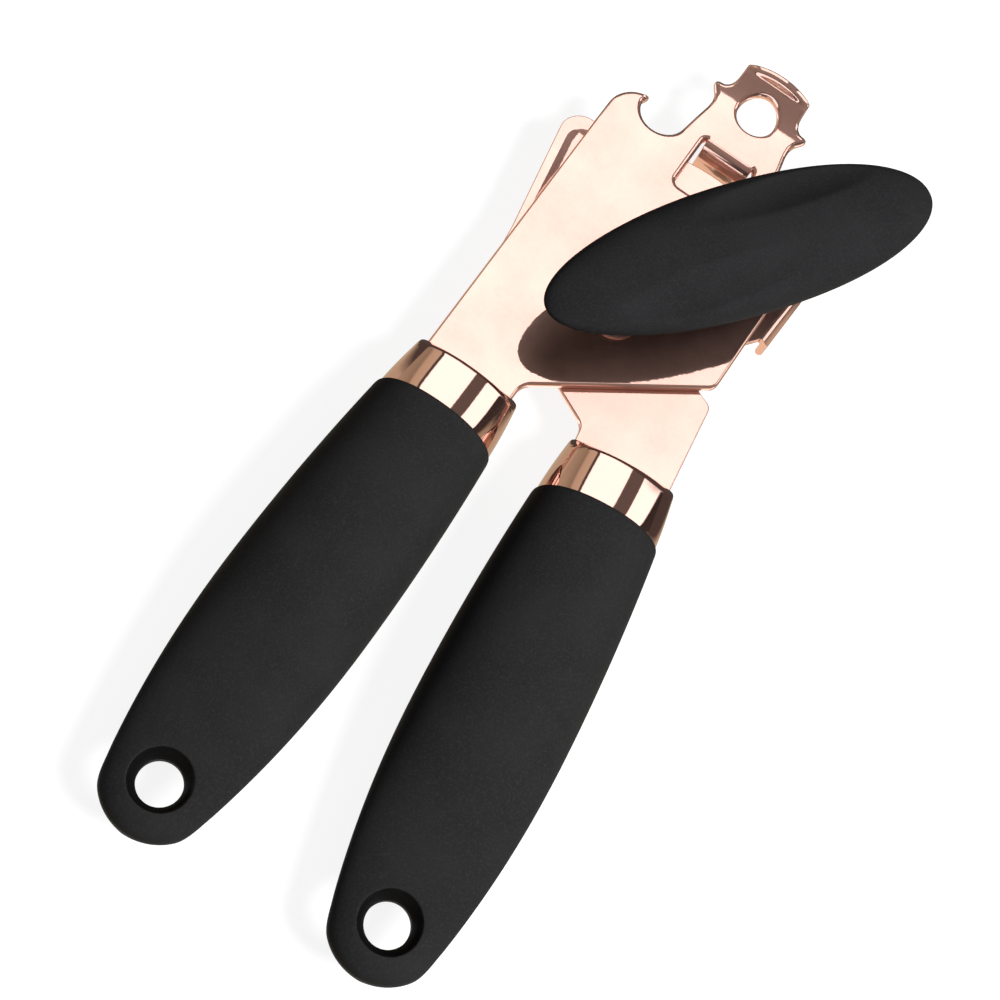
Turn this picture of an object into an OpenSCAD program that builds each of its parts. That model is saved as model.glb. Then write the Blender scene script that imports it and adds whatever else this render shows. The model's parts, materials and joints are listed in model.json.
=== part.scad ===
// Manual can opener: two crossed-plate handles on one rivet, a knob-driven serrated wheel and a
// free-spinning cutting wheel. Drawn half open, lying flat. Millimetres.

/* [Handles] */
// length of each soft grip
grip_len = 101.2; // [95:0.2:110]
// largest half width of a grip
grip_half_w = 15.8; // [14.5:0.1:17]
// largest half thickness of a grip
grip_half_h = 12.4; // [11.5:0.1:13.5]
// angle between the two handles as drawn
open_angle = 6.4; // [4:0.1:9]
// radius of the hang hole
hang_r = 4.45; // [4:0.05:5]

/* [Plates] */
// sheet thickness of both plates
plate_t = 1.8; // [1.5:0.05:2]
// gap between the plates
plate_gap = 0.25; // [0.15:0.05:0.4]
// radius of the hole in the neck
neck_hole_r = 4.5; // [3.5:0.05:4.9]

/* [Wheels] */
// radius of the serrated drive wheel over the teeth
drive_r = 5.4; // [5:0.1:5.6]
// number of teeth on the drive wheel
drive_teeth = 20; // [16:1:24]
// radius of the cutting wheel
cutter_r = 7.6; // [7:0.1:8]

/* [Knob] */
// half length of the knob
knob_half_l = 45.5; // [40:0.5:45.5]
// half width of the knob
knob_half_w = 14.5; // [12.5:0.1:15.5]
// direction of the knob as drawn
knob_angle = 55.4; // [0:0.2:180]

/* [Hidden] */
$fn = 64;

// the pivot rivet stands at the drawing origin; these bring the box centre to the frame origin
origin_x = 4.25;
origin_y = -36.83;

zc = grip_half_h;                     // middle of the sandwich of plates
up0 = zc + plate_gap / 2;             // underside of the upper plate
up1 = up0 + plate_t;                  // top of the upper plate
lo1 = zc - plate_gap / 2;             // top of the lower plate
lo0 = lo1 - plate_t;                  // underside of the lower plate

junction_y = -42.8;                   // where a grip meets its ferrule
left_x = -17.8;                       // middle of the left handle at its junction
left_angle = -0.5;                    // lean of the left grip
right_x = 15.6;                       // axis of the right handle, lower plate square
left_half = 10.35;                    // half width of the neck in the left ferrule
right_half = 10.9;                    // half width of the neck in the right ferrule

shaft_x = 14;
shaft_y = 22.9;
cutter_x = 0.4;
cutter_y = 21;
swing_r = norm([shaft_x, shaft_y]);
swing_a = atan2(shaft_y, shaft_x) - open_angle;   // shaft bearing seen from the lower plate
close_range = 5.5;
open_range = 15;

rivet_r = 3.0;
fit = 0.05;                           // radial running fit
seat = 0.02;                          // radial gap of fixed pairs
shaft_r = 2.5;
bush_r = 3.88;

// ---------- helpers ----------
function arc(cx, cy, r, a0, a1, n) =
  [for (i = [0:n]) let (a = a0 + (a1 - a0) * i / n) [cx + r * cos(a), cy + r * sin(a)]];
function mirrored(pts) = [for (i = [len(pts) - 1:-1:0]) [-pts[i][0], pts[i][1]]];
function signed_pow(v, p) = sign(v) * pow(abs(v), p);
function ring(w, h, y, z, p, n) =
  [for (i = [0:n - 1]) let (a = 360 * (i + 0.5) / n)
    [w * signed_pow(cos(a), p), y, z + h * signed_pow(sin(a), p)]];

// closed skin over rings that follow each other toward -y
module loft(rings) {
  n = len(rings[0]);
  m = len(rings);
  pts = [for (r = rings) each r];
  sides = [for (j = [0:m - 2]) for (i = [0:n - 1]) let (k = (i + 1) % n)
    each [[j * n + i, (j + 1) * n + i, (j + 1) * n + k], [j * n + i, (j + 1) * n + k, j * n + k]]];
  caps = [[for (i = [0:n - 1]) i], [for (i = [n - 1:-1:0]) (m - 1) * n + i]];
  polyhedron(pts, concat(sides, caps), convexity = 6);
}

module on_pivot() {
  translate([-origin_x, -origin_y, 0]) children();
}
module on_lower() {
  on_pivot() rotate([0, 0, open_angle]) children();
}
module on_left_handle() {
  on_pivot() translate([left_x, junction_y, zc]) rotate([0, 0, left_angle]) children();
}
module on_right_handle() {
  on_lower() translate([right_x, junction_y, zc]) children();
}
module on_shaft() {
  on_pivot() translate([shaft_x, shaft_y, 0]) children();
}
module on_cutter() {
  on_pivot() translate([cutter_x, cutter_y, 0]) children();
}
module disc(r, z0, z1) {
  translate([0, 0, z0]) cylinder(r = r, h = z1 - z0);
}
module washer(r_in, r_out, z0, z1) {
  difference() {
    disc(r_out, z0, z1);
    disc(r_in, z0 - 1, z1 + 1);
  }
}

// ---------- upper plate ----------
diag_a = 36.4;                        // slope of the lower edge of the plates
tang_half = 7;
tang_end = junction_y - 62;
neck_start = 58.5;                    // the neck curls up from here
neck_bend_r = 18;
neck_bend_a = 28;
lip_a = 78;
lip_len = 1.6;
ear_pts = [[-11.65, 47.95], [-10.9, 52.7], [-10.15, 56.8], [-10.05, 58.7], [-10.5, 60.2], [-11.5, 61.4],
  [-12.0, 62.1], [-11.9, 62.8], [-11.2, 63.1], [-10.0, 63.2], [-9.0, 63.9], [-8.4, 65.0], [-8.2, 66.2],
  [-8.1, 75]];

module upper_outline() {
  polygon(concat(
    [[left_x - tang_half, tang_end], [left_x - tang_half, -36], [left_x - left_half, -32.5]],
    arc(-21.45, 43.2, 6.7, 180, 99, 12),
    [[-21.95, 49.95], [-21.55, 49.55], [-21.85, 48.8]],
    arc(-17, 48.7, 5.4, 190, 350, 20),
    ear_pts,
    mirrored(ear_pts),
    arc(18.6, 51.5, 7.2, 205, 262, 6),
    arc(17.2, 34.3, 8.5, 72, 0, 10),
    arc(22.6, 0.745, 3, 0, diag_a - 90, 6),
    arc(-3.45, -27.18, 4, 90 + diag_a, 180, 6),
    [[left_x + left_half, -32.5], [left_x + tang_half, -36], [left_x + tang_half, tang_end]]));
}

// side profile of the sheet, y along the plate, z up, with the curled neck and the raised lip
module upper_profile() {
  t = plate_t;
  e = neck_start + neck_bend_r * sin(neck_bend_a);
  f = neck_bend_r * (1 - cos(neck_bend_a));
  ny = e + cos(neck_bend_a);
  nz = f + sin(neck_bend_a);
  ri = 0.8;
  cy = ny - ri * sin(neck_bend_a);
  cz = nz + ri * cos(neck_bend_a);
  ly = cy + ri * sin(lip_a);
  lz = cz - ri * cos(lip_a);
  polygon(concat(
    [[-110, 0], [-110, -t], [neck_start, -t]],
    arc(neck_start, neck_bend_r, neck_bend_r + t, -90 + 3, -90 + neck_bend_a, 7),
    arc(cy, cz, ri + t, -90 + neck_bend_a, -90 + lip_a, 6),
    [[ly + lip_len * cos(lip_a) + t * sin(lip_a), lz + lip_len * sin(lip_a) - t * cos(lip_a)],
     [ly + lip_len * cos(lip_a), lz + lip_len * sin(lip_a)]],
    arc(cy, cz, ri, -90 + lip_a, -90 + neck_bend_a, 5),
    arc(neck_start, neck_bend_r, neck_bend_r, -90 + neck_bend_a, -90, 8)));
}

window_x0 = -6.6;
window_x1 = 6.4;
window_y0 = 35;
window_y1 = 49.3;
tongue_half = 6.0;

module upper_plate() color([0.9, 0.68, 0.58]) {
  on_pivot() difference() {
    union() {
      intersection() {
        translate([0, 0, up0 - 10]) linear_extrude(40) upper_outline();
        translate([-60, 0, up1]) rotate([90, 0, 90]) linear_extrude(120) upper_profile();
        // rounded crown of the raised lip
        union() {
          translate([-60, -200, 0]) cube([120, 266, 60]);
          translate([0, 90, up1 - 11.4]) rotate([90, 0, 0]) cylinder(r = 16, h = 30, $fn = 96);
        }
      }
      // tongue bent down at the far side of the window
      intersection() {
        translate([-tongue_half, 0, up1]) rotate([90, 0, 90]) linear_extrude(2 * tongue_half)
          polygon(concat(
            [[window_y1 + 0.4, 0]], [[window_y1 - 0.2, 0]],
            arc(window_y1 - 0.2, -2.4, 2.4, 90, 145, 5),
            [[45.4, -4.6], [44.9, -6.9], [46.5, -7.2], [46.95, -5.0]],
            arc(window_y1 - 0.2, -2.6, 0.8, 145, 100, 3),
            [[window_y1 + 0.4, -1.7]]));
        translate([0, 0, up1 - 20]) linear_extrude(30) square([2 * tongue_half, 110], center = true);
      }
    }
    difference() {
      translate([window_x0, window_y0, up0 - 1]) linear_extrude(plate_t + 2) offset(1.6) offset(-1.6)
        square([window_x1 - window_x0, window_y1 - window_y0]);
      translate([-tongue_half, 40, up0 - 9]) cube([2 * tongue_half, 20, 12]);
    }
    // clear the sheet above the bent tongue
    translate([-tongue_half, window_y0, up1 - 0.001]) cube([2 * tongue_half, 12.5, 3]);
    translate([0, 60.85, up0 - 2]) cylinder(r = neck_hole_r, h = 8);
    translate([0, 60.85, up1 - 0.5]) cylinder(r1 = neck_hole_r, r2 = neck_hole_r + 3.2, h = 3.2);
    translate([0, 0, up0 - 1]) cylinder(r = rivet_r + seat, h = plate_t + 2);
    translate([shaft_x, shaft_y, up0 - 1]) cylinder(r = bush_r + seat, h = plate_t + 2);
    tang_holes(left_x, left_angle);
  }
}

pin_r = 2;
pin_front = -14;
pin_rear = -50;
module tang_holes(x, lean) {
  translate([x, junction_y, zc - 5]) rotate([0, 0, lean]) for (s = [pin_front, pin_rear])
    translate([0, s, 0]) cylinder(r = pin_r + seat, h = 10);
}

// ---------- lower plate ----------
lower_diag = 32.6;
flange_tilt = -9.5;                  // the guide flange leans away from the handle axis
flange_x = 29.2;
flange_y = 12.9;
flange_len = 19;
flange_drop = 4.4;

module lower_outline() {
  polygon(concat(
    [[right_x - tang_half, tang_end], [right_x - tang_half, -36], [right_x - right_half, -32.5]],
    arc(1.5, -26.4, 3, 0, 90 - lower_diag, 5),
    arc(-25.1, -2.4, 3, 270 - lower_diag, 180, 5),
    [[-28.1, 8]],
    arc(-24.8, 35.9, 5, 177, 95, 8),
    arc(0, 0, 43.2, 112, 52, 14),
    [[31.3, 30.5], [32.0, 30.4], [flange_x, flange_y], [27.0, 10.6], [22.6, 4.6], [22.6, -5.0]],
    arc(24.3, -8.2, 2, 62, 0, 5),
    [[right_x + right_half, -32.5], [right_x + tang_half, -36], [right_x + tang_half, tang_end]]));
}

module lower_plate() color([0.88, 0.66, 0.56]) {
  difference() {
    on_lower() difference() {
      union() {
        translate([0, 0, lo0]) linear_extrude(plate_t) lower_outline();
        // can guide flange folded down along the outer edge
        translate([flange_x, flange_y, lo1]) rotate([0, 0, flange_tilt]) translate([0, flange_len, 0])
          rotate([90, 0, 0]) linear_extrude(flange_len) polygon(concat(
            [[-2, 0], [0, 0]], arc(0, -2.3, 2.3, 90, 0, 8), [[2.3, -plate_t - flange_drop]],
            [[0.5, -plate_t - flange_drop]], arc(0, -2.3, 0.5, 0, 90, 4), [[-2, -1.8]]));
      }
      // long relief pressed into the outer finger
      hull() for (q = [[-23.9, 34.2], [-22.7, 8]])
        translate([q[0], q[1], lo1 - 0.8]) cylinder(r1 = 2.4, r2 = 4.1, h = 1);
      cylinder_hole(0, 0, rivet_r + fit);
      // slot that lets the shaft bushing swing with the upper plate
      translate([0, 0, lo0 - 1]) linear_extrude(plate_t + 2) polygon(concat(
        arc(0, 0, swing_r + 4.3, swing_a - open_range, swing_a + close_range, 12),
        arc(0, 0, swing_r - 4.3, swing_a + close_range, swing_a - open_range, 12)));
      for (a = [swing_a - open_range, swing_a + close_range])
        cylinder_hole(swing_r * cos(a), swing_r * sin(a), 4.3);
      tang_holes(right_x, 0);
    }
    on_cutter() disc(3.0 + seat, lo0 - 1, lo1 + 1);
  }
}
module cylinder_hole(x, y, r) {
  translate([x, y, lo0 - 1]) cylinder(r = r, h = plate_t + 2);
}

// ---------- pivot ----------
module dome(r, h, z) {
  // low spherical cap standing on z
  rs = (r * r + h * h) / (2 * h);
  intersection() {
    translate([0, 0, z + h - rs]) sphere(r = rs, $fn = 96);
    translate([0, 0, z]) cylinder(r = r, h = h + 1);
  }
}
module pivot_rivet() color([0.88, 0.66, 0.56]) on_pivot() {
  disc(5.2, up1 + 0.02, up1 + 0.5);
  dome(5.2, 1.1, up1 + 0.5);
  disc(rivet_r, lo0 - 1.0, up1 + 0.1);
  disc(4.1, lo0 - 1.4, lo0 - 0.92);
  translate([0, 0, 2 * (lo0 - 1.4)]) mirror([0, 0, 1]) dome(4.1, 0.7, lo0 - 1.4);
}
module pivot_washer() color([0.75, 0.75, 0.77]) on_pivot()
  washer(rivet_r + seat, 5.4, lo0 - 0.85, lo0 - 0.05);

// ---------- drive shaft, wheel and knob ----------
module shaft_bushing() color([0.78, 0.66, 0.4]) on_shaft() difference() {
  union() {
    disc(6.2, up1 + 0.02, up1 + 0.9);
    disc(bush_r, lo0 - 0.25, up1 + 0.5);
  }
  disc(shaft_r + fit, lo0 - 2, up1 + 3);
}
module thrust_washer() color([0.75, 0.75, 0.77]) on_shaft()
  washer(shaft_r + seat, 6, up1 + 1.0, up1 + 1.5);

wheel_top = lo0 - 0.4;
wheel_bot = wheel_top - 3.7;
module drive_shaft() color([0.72, 0.72, 0.74]) on_shaft() {
  disc(shaft_r, wheel_bot - 1.1, up1 + 11.8);
  translate([0, 0, 2 * (wheel_bot - 1.1)]) mirror([0, 0, 1]) dome(shaft_r, 0.5, wheel_bot - 1.1);
}
module drive_wheel() color([0.7, 0.7, 0.72]) on_shaft() {
  ro = drive_r;
  ri = drive_r - 0.75;
  step = 360 / drive_teeth;
  difference() {
    union() {
      // serrated rim
      translate([0, 0, wheel_bot]) linear_extrude(2.4) polygon([for (k = [0:drive_teeth - 1])
        each [[ri * cos(k * step), ri * sin(k * step)],
              [ro * cos((k + 0.36) * step), ro * sin((k + 0.36) * step)],
              [ro * cos((k + 0.64) * step), ro * sin((k + 0.64) * step)]]]);
      disc(4.3, wheel_bot, wheel_top);
    }
    disc(shaft_r + seat, wheel_bot - 1, wheel_top + 1);
  }
}
module drive_retainer() color([0.75, 0.75, 0.77]) on_shaft()
  washer(shaft_r + seat, 3.3, wheel_bot - 0.9, wheel_bot - 0.02);

knob_z = up1 + 12.6;                  // middle of the knob
hub_r = 6.8;
function pad_w(u, w) = w * pow(max(0, 1 - pow(abs(u), u > 0 ? 2.3 : 1.9)), 0.5);
function pad_h(u, h) = h * (0.52 + 0.48 * cos(90 * min(1, abs(u)))) * pow(max(0, 1 - pow(abs(u), 6)), 0.5);
pad_u = [-0.998, -0.985, -0.96, -0.92, -0.86, -0.78, -0.68, -0.56, -0.42, -0.26, -0.09];
module pad(l, w, h, n, p) {
  us = concat(pad_u, [for (i = [len(pad_u) - 1:-1:0]) -pad_u[i]]);
  loft([for (i = [len(us) - 1:-1:0]) ring(pad_w(us[i], w), pad_h(us[i], h), l * us[i], 0, p, n)]);
}
module on_knob() {
  on_shaft() translate([0, 0, knob_z]) rotate([0, 0, knob_angle - 90]) children();
}
module knob_wing() color([0.72, 0.72, 0.74]) difference() {
  on_knob() translate([0, 0, -0.8]) linear_extrude(1.6) difference() {
    union() {
      square([9, 54], center = true);
      circle(7);
      for (s = [-1, 1]) translate([0, 27 * s]) circle(4.5);
    }
    for (s = [-1, 1]) translate([0, 22 * s]) circle(2.2);
  }
  on_shaft() disc(shaft_r + seat, knob_z - 2, knob_z + 2);
}
module knob_core() color([0.12, 0.12, 0.13]) difference() {
  union() {
    on_knob() pad(knob_half_l - 5, knob_half_w - 4, 4.1, 28, 0.8);
    on_shaft() disc(hub_r, up1 + 1.6, knob_z);
  }
  on_knob() translate([0, 0, -0.9]) linear_extrude(1.8) difference() {
    union() {
      square([9.2, 54.2], center = true);
      circle(7.1);
      for (s = [-1, 1]) translate([0, 27 * s]) circle(4.6);
    }
    for (s = [-1, 1]) translate([0, 22 * s]) circle(2.1);
  }
  on_shaft() disc(shaft_r + seat, up1, knob_z + 2);
}
module knob_grip() color([0.13, 0.13, 0.14]) difference() {
  on_knob() pad(knob_half_l, knob_half_w, 6.6, 40, 0.86);
  on_knob() pad(knob_half_l - 4.9, knob_half_w - 3.9, 4.2, 28, 0.8);
  on_shaft() disc(hub_r + 0.1, up1, knob_z);
  // shallow lens-shaped thumb scoops, one on the leading flank of each wing
  on_knob() for (turn = [0, 180]) rotate([0, 0, turn])
    translate([11.8, -12.9, 19.8]) rotate([-85.6, 0, 4.4])
      cylinder(r = 16, h = 120, center = true, $fn = 120);
}

// ---------- cutting wheel ----------
cut_top = lo0 - 5.15;
cut_bot = cut_top - 1.4;
module cutting_wheel() color([0.78, 0.78, 0.8]) on_cutter() difference() {
  rotate_extrude($fn = 96) polygon([[0, cut_bot], [4.6, cut_bot], [cutter_r - 0.1, cut_bot + 1.15],
    [cutter_r, cut_bot + 1.3], [cutter_r - 0.1, cut_top], [0, cut_top]]);
  disc(3.0 + 0.06, cut_bot - 1, cut_top + 1);
}
module cutter_stud() color([0.74, 0.74, 0.76]) on_cutter() difference() {
  union() {
    disc(3.0, cut_bot - 0.5, lo1 - 0.04);
    disc(4.9, cut_bot - 0.9, cut_bot - 0.1);
    translate([0, 0, 2 * (cut_bot - 0.9)]) mirror([0, 0, 1]) dome(4.9, 0.9, cut_bot - 0.9);
  }
  translate([-6, -0.6, cut_bot - 2.4]) cube([12, 1.2, 1.5]);
}
module cutter_spacer() color([0.75, 0.75, 0.77]) on_cutter()
  washer(3.0 + seat, 4.6, lo0 - 4.6, lo0 - 0.02);
module cutter_wave_washer() color([0.8, 0.8, 0.8]) on_cutter()
  washer(3.0 + 0.1, 5.2, lo0 - 5.05, lo0 - 4.65);

// ---------- handles ----------
bulge = 44;                           // widest station behind the junction
end_c = grip_len - 11.6;              // centre of the rounded end and of the hang hole
hang_s = 90.2;
function taper_w(s) = s < bulge
  ? grip_half_w - 1.9 * pow((bulge - s) / bulge, 2)
  : grip_half_w - 4.1 * pow((s - bulge) / bulge, 2.2);
function end_w(s) = s < end_c ? 99 : sqrt(max(0, 11.6 * 11.6 - (s - end_c) * (s - end_c)));
function grip_w(s) = min(taper_w(s), end_w(s));
function taper_h(s) = s < 34
  ? grip_half_h - 0.8 * pow((34 - s) / 34, 2)
  : grip_half_h - 3.95 * (1 - cos(180 * min(1, (s - 34) / 53)));
function end_h(s) = let (v = max(0, (s - grip_len + 5.4) / 5.4)) sqrt(max(0, 1 - v * v));
function grip_h(s) = taper_h(s) * (0.2 + 0.8 * end_h(s));
front_round = [[0, 0.45], [0.25, 0.14], [0.6, 0]];
grip_s = concat([4, 10, 17, 25, 34, 44, 53, 61, 68, 74, 79.5, 84, 88],
  [for (a = [15, 24, 33, 42, 51, 59, 66, 73, 79, 84, 87.5]) end_c + 11.6 * sin(a)]);

module grip_skin() loft(concat(
  [for (f = front_round) ring(grip_w(f[0]) - f[1], grip_h(f[0]) - f[1], -f[0], 0, 0.92, 36)],
  [for (s = grip_s) ring(grip_w(s), grip_h(s), -s, 0, 0.92, 36)]));

// outer half sizes of the ferrule against the distance in front of the junction; beyond nose_v it
// slopes down to the plates
nose_v = 10.6;
function ferrule_w(v) = 13.35 - 1.5 * pow(max(0, v) / 13.8, 1.5);
function ferrule_h(v) = v < nose_v
  ? 10.95 - 1.0 * pow(max(0, v) / nose_v, 1.3)
  : 9.95 - min(7.6, 2.35 * (v - nose_v));
function ferrule_p(v) = 0.92 - 0.42 * max(0, v - nose_v) / (13.8 - nose_v);
function ferrule_edge(v) = v > 13.7 ? 0.9 : v > 13.5 ? 0.45 : v > 13 ? 0.12 : 0;
ferrule_v = [13.8, 13.55, 13.2, 12.3, 11.4, 10.9, 10.7, 10.3, 8.4, 6, 3.5, 1.5, 0, -6];
module ferrule_skin(off, front) loft([for (v = ferrule_v) let (q = min(v, front))
  ring(ferrule_w(q) - off - ferrule_edge(v), ferrule_h(q + off) - off - min(0.25, ferrule_edge(v)),
    v > front ? front + (v - front) * 0.05 : v, 0, ferrule_p(q), 36)]);

core_s = [6.5, 16, 28, 42, 56, 68, 77, 80];
module core_skin(off) {
  loft(concat(
    [for (v = [10.5, 8, 5, 2, 0, -6.2]) ring(ferrule_w(v) - 0.95 + off, ferrule_h(v + 1) - 0.95 + off, v, 0,
      ferrule_p(v), 32)],
    [for (s = core_s) ring(grip_w(s) - 2.4 + off, grip_h(s) - 2.4 + off, -s, 0, 0.92, 32)]));
}

module ferrule(half) difference() {
  ferrule_skin(0, 13.8);
  ferrule_skin(0.65, 12.9);
  translate([-13, -7, -12]) cube([26, 1.1, 24]);
  // slot the neck of the plate passes through
  translate([-half - 0.25, 10, -plate_t - plate_gap / 2 - 0.1])
    cube([2 * half + 0.5, 8, 2 * plate_t + plate_gap + 0.2]);
}
module core() difference() {
  core_skin(0);
  // pocket for the tang
  translate([-tang_half - 0.65, -63, -plate_t - plate_gap / 2 - 0.1])
    cube([2 * tang_half + 1.3, 90, 2 * plate_t + plate_gap + 0.2]);
  translate([-12, 6.4, -plate_t - plate_gap / 2 - 0.1])
    cube([24, 8, 2 * plate_t + plate_gap + 0.2]);
  for (s = [pin_front, pin_rear]) translate([0, s, -15]) cylinder(r = pin_r + seat, h = 30);
}
module grip() difference() {
  grip_skin();
  // room for the ferrule sleeve, then for the core
  loft([for (s = [-2, 6.15]) ring(13.35 + 0.12, 10.95 + 0.12, -s, 0, 0.92, 36)]);
  loft(concat([ring(13.3, 10.9, -6.0, 0, 0.92, 32)],
    [for (s = core_s) ring(grip_w(s) - 2.3, grip_h(s) - 2.3, -s - (s == 80 ? 0.1 : 0), 0, 0.92, 32)]));
  translate([0, -hang_s, -12]) cylinder(r = hang_r, h = 24);
  for (m = [0, 1]) mirror([0, 0, m]) translate([0, -hang_s, 0.9])
    cylinder(r1 = hang_r, r2 = hang_r + 2.8, h = 5.6);
}
module tang_pin(s, l) translate([0, s, -l / 2]) cylinder(r = pin_r, h = l);

module left_ferrule() color([0.9, 0.68, 0.58]) on_left_handle() ferrule(left_half);
module left_core() color([0.2, 0.2, 0.2]) on_left_handle() core();
module left_grip() color([0.13, 0.13, 0.14]) on_left_handle() grip();
module left_tang_pin_front() color([0.7, 0.7, 0.7]) on_left_handle() tang_pin(pin_front, 18.4);
module left_tang_pin_rear() color([0.7, 0.7, 0.7]) on_left_handle() tang_pin(pin_rear, 15.2);
module right_ferrule() color([0.9, 0.68, 0.58]) on_right_handle() ferrule(right_half);
module right_core() color([0.2, 0.2, 0.2]) on_right_handle() core();
module right_grip() color([0.13, 0.13, 0.14]) on_right_handle() grip();
module right_tang_pin_front() color([0.7, 0.7, 0.7]) on_right_handle() tang_pin(pin_front, 18.4);
module right_tang_pin_rear() color([0.7, 0.7, 0.7]) on_right_handle() tang_pin(pin_rear, 15.2);

upper_plate();
lower_plate();
pivot_rivet();
pivot_washer();
shaft_bushing();
thrust_washer();
drive_shaft();
drive_wheel();
drive_retainer();
knob_wing();
knob_core();
knob_grip();
cutting_wheel();
cutter_stud();
cutter_spacer();
cutter_wave_washer();
left_ferrule();
left_core();
left_grip();
left_tang_pin_front();
left_tang_pin_rear();
right_ferrule();
right_core();
right_grip();
right_tang_pin_front();
right_tang_pin_rear();
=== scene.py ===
import json
import math

import bmesh
import bpy
import numpy as np
from mathutils import Matrix, Vector
from mathutils.geometry import delaunay_2d_cdt


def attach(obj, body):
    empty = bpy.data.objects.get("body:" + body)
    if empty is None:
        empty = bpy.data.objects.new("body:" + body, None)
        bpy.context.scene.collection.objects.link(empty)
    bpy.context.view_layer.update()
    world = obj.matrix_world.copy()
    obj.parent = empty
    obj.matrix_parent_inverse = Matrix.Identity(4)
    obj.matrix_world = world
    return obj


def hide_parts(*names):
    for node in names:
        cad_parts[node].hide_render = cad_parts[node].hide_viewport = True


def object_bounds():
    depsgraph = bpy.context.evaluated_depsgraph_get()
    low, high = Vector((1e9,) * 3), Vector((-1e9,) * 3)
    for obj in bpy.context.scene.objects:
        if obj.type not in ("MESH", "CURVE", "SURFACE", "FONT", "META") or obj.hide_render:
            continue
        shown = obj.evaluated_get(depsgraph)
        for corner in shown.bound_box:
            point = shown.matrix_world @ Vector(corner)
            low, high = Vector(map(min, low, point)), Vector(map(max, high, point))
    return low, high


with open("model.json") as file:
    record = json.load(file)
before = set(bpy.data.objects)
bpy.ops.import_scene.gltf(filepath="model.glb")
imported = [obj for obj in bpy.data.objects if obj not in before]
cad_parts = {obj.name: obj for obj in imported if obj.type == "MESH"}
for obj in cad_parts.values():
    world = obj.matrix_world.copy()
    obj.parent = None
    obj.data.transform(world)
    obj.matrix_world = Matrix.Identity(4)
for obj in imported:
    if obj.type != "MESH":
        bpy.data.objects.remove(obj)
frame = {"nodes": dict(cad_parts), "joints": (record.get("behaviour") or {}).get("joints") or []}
cad_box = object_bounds()

# ---------------------------------------------------------------- sizes, in millimetres
MM = 0.001
ZC = 12.4  # middle plane of the handles
UP1 = 14.325  # top of the upper plate
LO1 = 12.275  # top of the lower plate
T = 1.8  # sheet thickness
JUNCTION = -42.8  # where ferrule and grip meet, along the handle from the rivet
LEFT_X, LEFT_LEAN = -17.8, math.radians(-0.5)
RIGHT_X = 15.6
OPEN_DEG = 6.4  # how far the lower handle is turned open
OPEN = math.radians(OPEN_DEG)
OPENING, CLOSING = 15, 5.5  # degrees that the handles can swing from there
SHAFT = (14.0, 22.9)
KNOB_Z = UP1 + 12.6
KNOB_TURN = math.radians(55.4 - 90)

GRIP_LEN = 101.2
GRIP_HALF_W = 15.8
GRIP_HALF_H = 12.4
GRIP_POWER = 0.92  # exponent of the superellipse section
GRIP_END_R = 11.6  # round end of the grip, seen from above
GRIP_END = GRIP_LEN - GRIP_END_R
BULGE = 44.0  # widest place of the grip
HANG_S = 90.2  # hang hole, along the grip from the junction
HANG_R = 4.45
SINK = 0.9  # the wall of a hang hole widens beyond this distance from the middle plane

FERRULE_LEN = 13.8
NOSE = 10.6  # where the tapered nose of the ferrule starts

KNOB_HALF_L = 45.5
KNOB_HALF_W = 14.5
KNOB_HALF_H = 6.6
SCOOP_AT = (11.8, -12.9, 19.8)  # a point on the axis of the cylinder that cuts a thumb scoop
SCOOP_AXIS = (-0.0765, 0.9941, 0.0767)
SCOOP_R = 16.0

pivot = Vector(next(j for j in frame["joints"] if j["name"] == "handle_pivot")["pos_m"])
pivot.z = 0


def place(x, y, z, turn=0.0, on_lower=False):
    """Where a piece's own millimetre drawing sits in the frame, measured from the rivet."""
    m = Matrix.Translation((x, y, z)) @ Matrix.Rotation(turn, 4, "Z")
    if on_lower:
        m = Matrix.Rotation(OPEN, 4, "Z") @ m
    return Matrix.Translation(pivot) @ Matrix.Scale(MM, 4) @ m


LEFT = place(LEFT_X, JUNCTION, ZC, LEFT_LEAN)
RIGHT = place(RIGHT_X, JUNCTION, ZC, on_lower=True)
KNOB = place(*SHAFT, KNOB_Z, KNOB_TURN)
SIDES = (("left", LEFT, "upper_handle"), ("right", RIGHT, "lower_handle"))


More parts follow.
